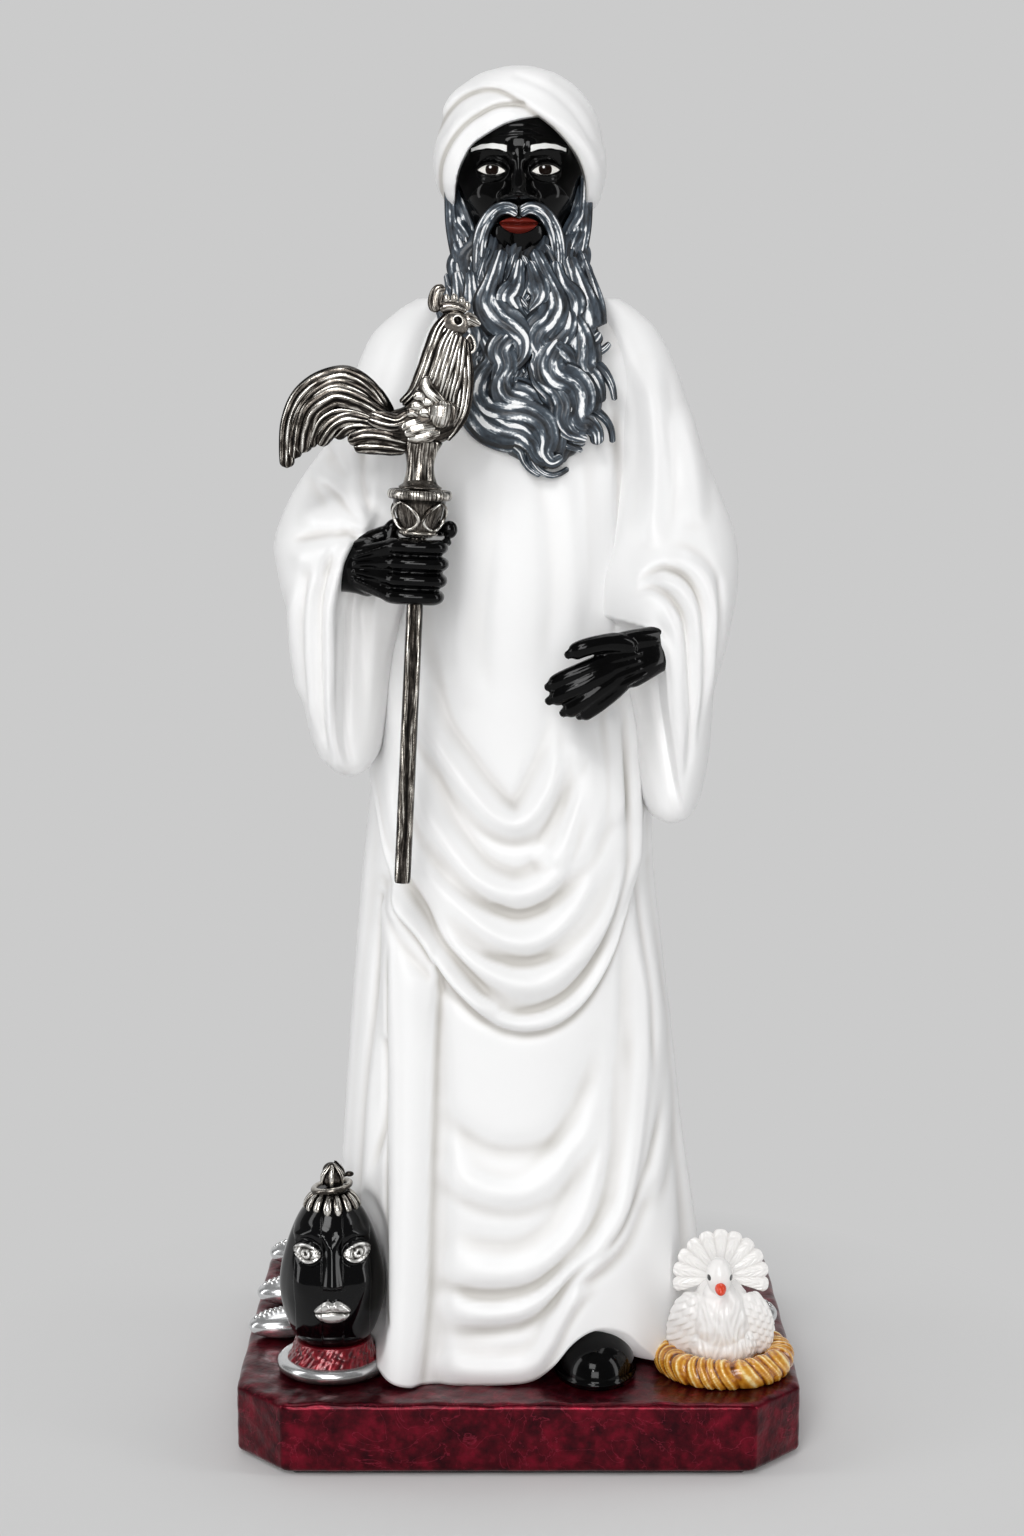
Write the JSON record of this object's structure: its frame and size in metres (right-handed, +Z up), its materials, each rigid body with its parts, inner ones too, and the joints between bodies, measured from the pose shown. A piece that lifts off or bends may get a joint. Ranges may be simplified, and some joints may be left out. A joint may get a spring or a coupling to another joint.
{
  "type": "orisha statuette",
  "caption": "Robed, turbaned elder statuette on an octagonal plinth, with a lift-out rooster staff, an egg-shaped head in a dish, cowries, and a dove in a nest.",
  "frame": {"origin": "middle of the felt's underside, where the statuette stands", "axes": "+Z up, the figure faces -Y, +X to the left hand's side"},
  "size_m": [0.122, 0.108, 0.2964],
  "materials": {
    "white_satin": "satin ivory-white paint on cast resin",
    "skin_gloss": "high gloss black paint on cast resin",
    "slate_hair": "slate paint, crests dry-brushed white",
    "burgundy_lacquer": "metallic burgundy lacquer over a hammered cast face",
    "antique_silver": "antique silver plating, dark patina in the recesses",
    "bright_silver": "bright silver leaf paint on cast resin",
    "straw_paint": "ochre paint with a pale dry brush",
    "pearl_white": "pearly white paint",
    "beak_orange": "orange-red paint",
    "felt": "glued felt",
    "dowel_wood": "turned hardwood pin"
  },
  "bodies": {
    "root": {"felt_sheet": "felt", "plinth": "burgundy_lacquer", "figure_dowel_1": "dowel_wood", "figure_dowel_2": "dowel_wood", "robe": "white_satin", "sleeve_right": "white_satin", "sleeve_left": "white_satin", "hand_right": "skin_gloss", "hand_left": "skin_gloss", "head": "skin_gloss", "turban": "white_satin", "beard": "slate_hair", "foot_left": "skin_gloss", "ori_head": "skin_gloss", "ori_crown": "antique_silver", "ori_collar": "burgundy_lacquer", "ori_dish": "bright_silver", "cowrie_1": "bright_silver", "cowrie_2": "bright_silver", "cowrie_3": "bright_silver", "cowrie_4": "bright_silver", "nest": "straw_paint", "dove": "pearl_white", "dove_tail": "pearl_white", "dove_beak": "beak_orange"},
    "staff": {"staff_shaft": "antique_silver"},
    "finial": {"staff_cup": "antique_silver", "rooster": "antique_silver"}
  },
  "joints": [
    {"name": "staff_lift", "type": "slide", "parent": "root", "child": "staff", "axis": [0.0506, 0, 0.9987], "range_m": [0, 0.068]},
    {"name": "finial_turn", "type": "hinge", "parent": "staff", "child": "finial", "pos_m": [-0.02011, -0.04599, 0.20837], "axis": [0.0506, 0, 0.9987], "range_deg": [-15, 180]}
  ]
}
